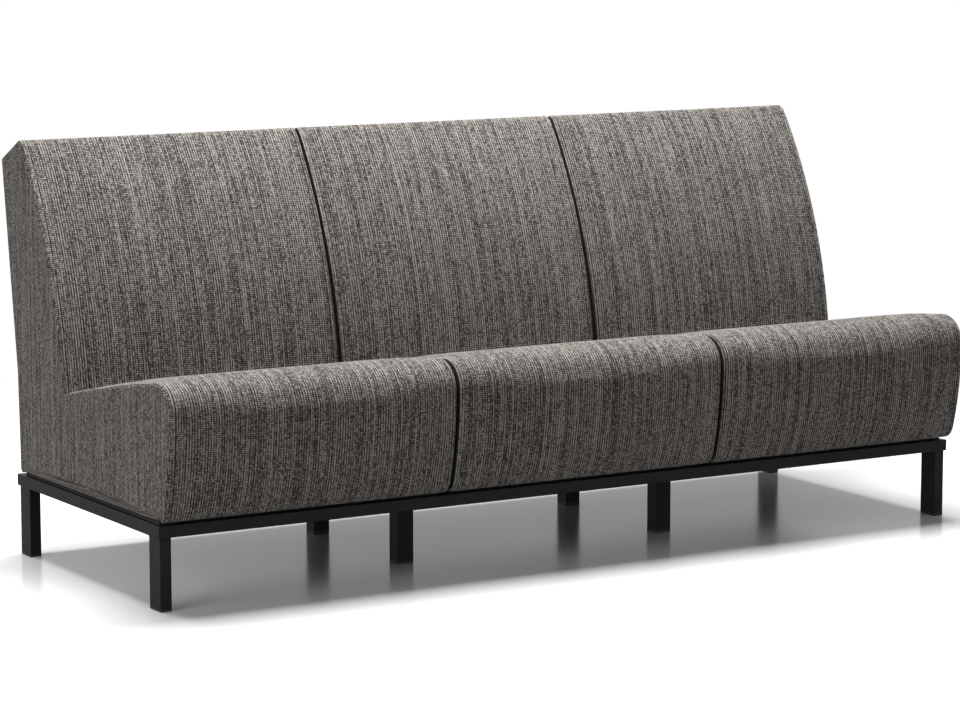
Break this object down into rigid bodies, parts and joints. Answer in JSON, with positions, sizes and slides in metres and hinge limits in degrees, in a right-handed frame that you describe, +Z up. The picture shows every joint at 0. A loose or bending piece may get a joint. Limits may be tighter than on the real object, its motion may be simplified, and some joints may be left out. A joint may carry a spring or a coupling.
{
  "type": "armless sofa",
  "caption": "Armless upholstered sofa: wedge-backed padded seat units bolted side by side on a low black steel tube base with square legs.",
  "frame": {"origin": "on the floor, under the middle of the whole sofa's box", "axes": "+X along the sofa's length, to the right as seen from the front; +Y from the front to the rear; +Z up"},
  "size_m": [1.98, 0.8068, 0.894],
  "materials": {
    "black_powder_coated_steel": "satin black powder coat on welded steel tube",
    "black_nylon": "moulded black nylon",
    "zinc_plated_steel": "bright zinc plate",
    "birch_plywood": "sanded raw birch plywood",
    "black_stained_plywood": "black stained plywood edge",
    "hardboard": "brown hardboard",
    "elastic_webbing": "woven elastic strap",
    "polyurethane_foam": "open cell foam",
    "melange_upholstery": "coarse grey melange plain weave with streaked warp",
    "black_cambric": "black non-woven dust cloth"
  },
  "bodies": {
    "root": {"fixing_screws": "zinc_plated_steel", "front_inner_leg_left": "black_powder_coated_steel", "front_inner_leg_right": "black_powder_coated_steel", "front_left_leg": "black_powder_coated_steel", "front_rail": "black_powder_coated_steel", "front_right_leg": "black_powder_coated_steel", "left_back_cover": "melange_upholstery", "left_back_foam": "polyurethane_foam", "left_back_rails": "birch_plywood", "left_base_board": "black_stained_plywood", "left_cross_rail": "black_powder_coated_steel", "left_dust_cover": "black_cambric", "left_end_covers": "melange_upholstery", "left_end_rail": "black_powder_coated_steel", "left_front_board": "birch_plywood", "left_rear_board": "hardboard", "left_rear_cover": "melange_upholstery", "left_seat_cover": "melange_upholstery", "left_seat_foam": "polyurethane_foam", "left_seat_rear_rail": "birch_plywood", "left_side_panels": "birch_plywood", "left_webbing": "elastic_webbing", "leg_glides": "black_nylon", "middle_back_cover": "melange_upholstery", "middle_back_foam": "polyurethane_foam", "middle_back_rails": "birch_plywood", "middle_base_board": "black_stained_plywood", "middle_dust_cover": "black_cambric", "middle_end_covers": "melange_upholstery", "middle_front_board": "birch_plywood", "middle_rear_board": "hardboard", "middle_rear_cover": "melange_upholstery", "middle_seat_cover": "melange_upholstery", "middle_seat_foam": "polyurethane_foam", "middle_seat_rear_rail": "birch_plywood", "middle_side_panels": "birch_plywood", "middle_webbing": "elastic_webbing", "rear_inner_leg_left": "black_powder_coated_steel", "rear_inner_leg_right": "black_powder_coated_steel", "rear_left_leg": "black_powder_coated_steel", "rear_rail": "black_powder_coated_steel", "rear_right_leg": "black_powder_coated_steel", "right_back_cover": "melange_upholstery", "right_back_foam": "polyurethane_foam", "right_back_rails": "birch_plywood", "right_base_board": "black_stained_plywood", "right_cross_rail": "black_powder_coated_steel", "right_dust_cover": "black_cambric", "right_end_covers": "melange_upholstery", "right_end_rail": "black_powder_coated_steel", "right_front_board": "birch_plywood", "right_rear_board": "hardboard", "right_rear_cover": "melange_upholstery", "right_seat_cover": "melange_upholstery", "right_seat_foam": "polyurethane_foam", "right_seat_rear_rail": "birch_plywood", "right_side_panels": "birch_plywood", "right_webbing": "elastic_webbing", "tee_nuts": "zinc_plated_steel"}
  },
  "joints": []
}
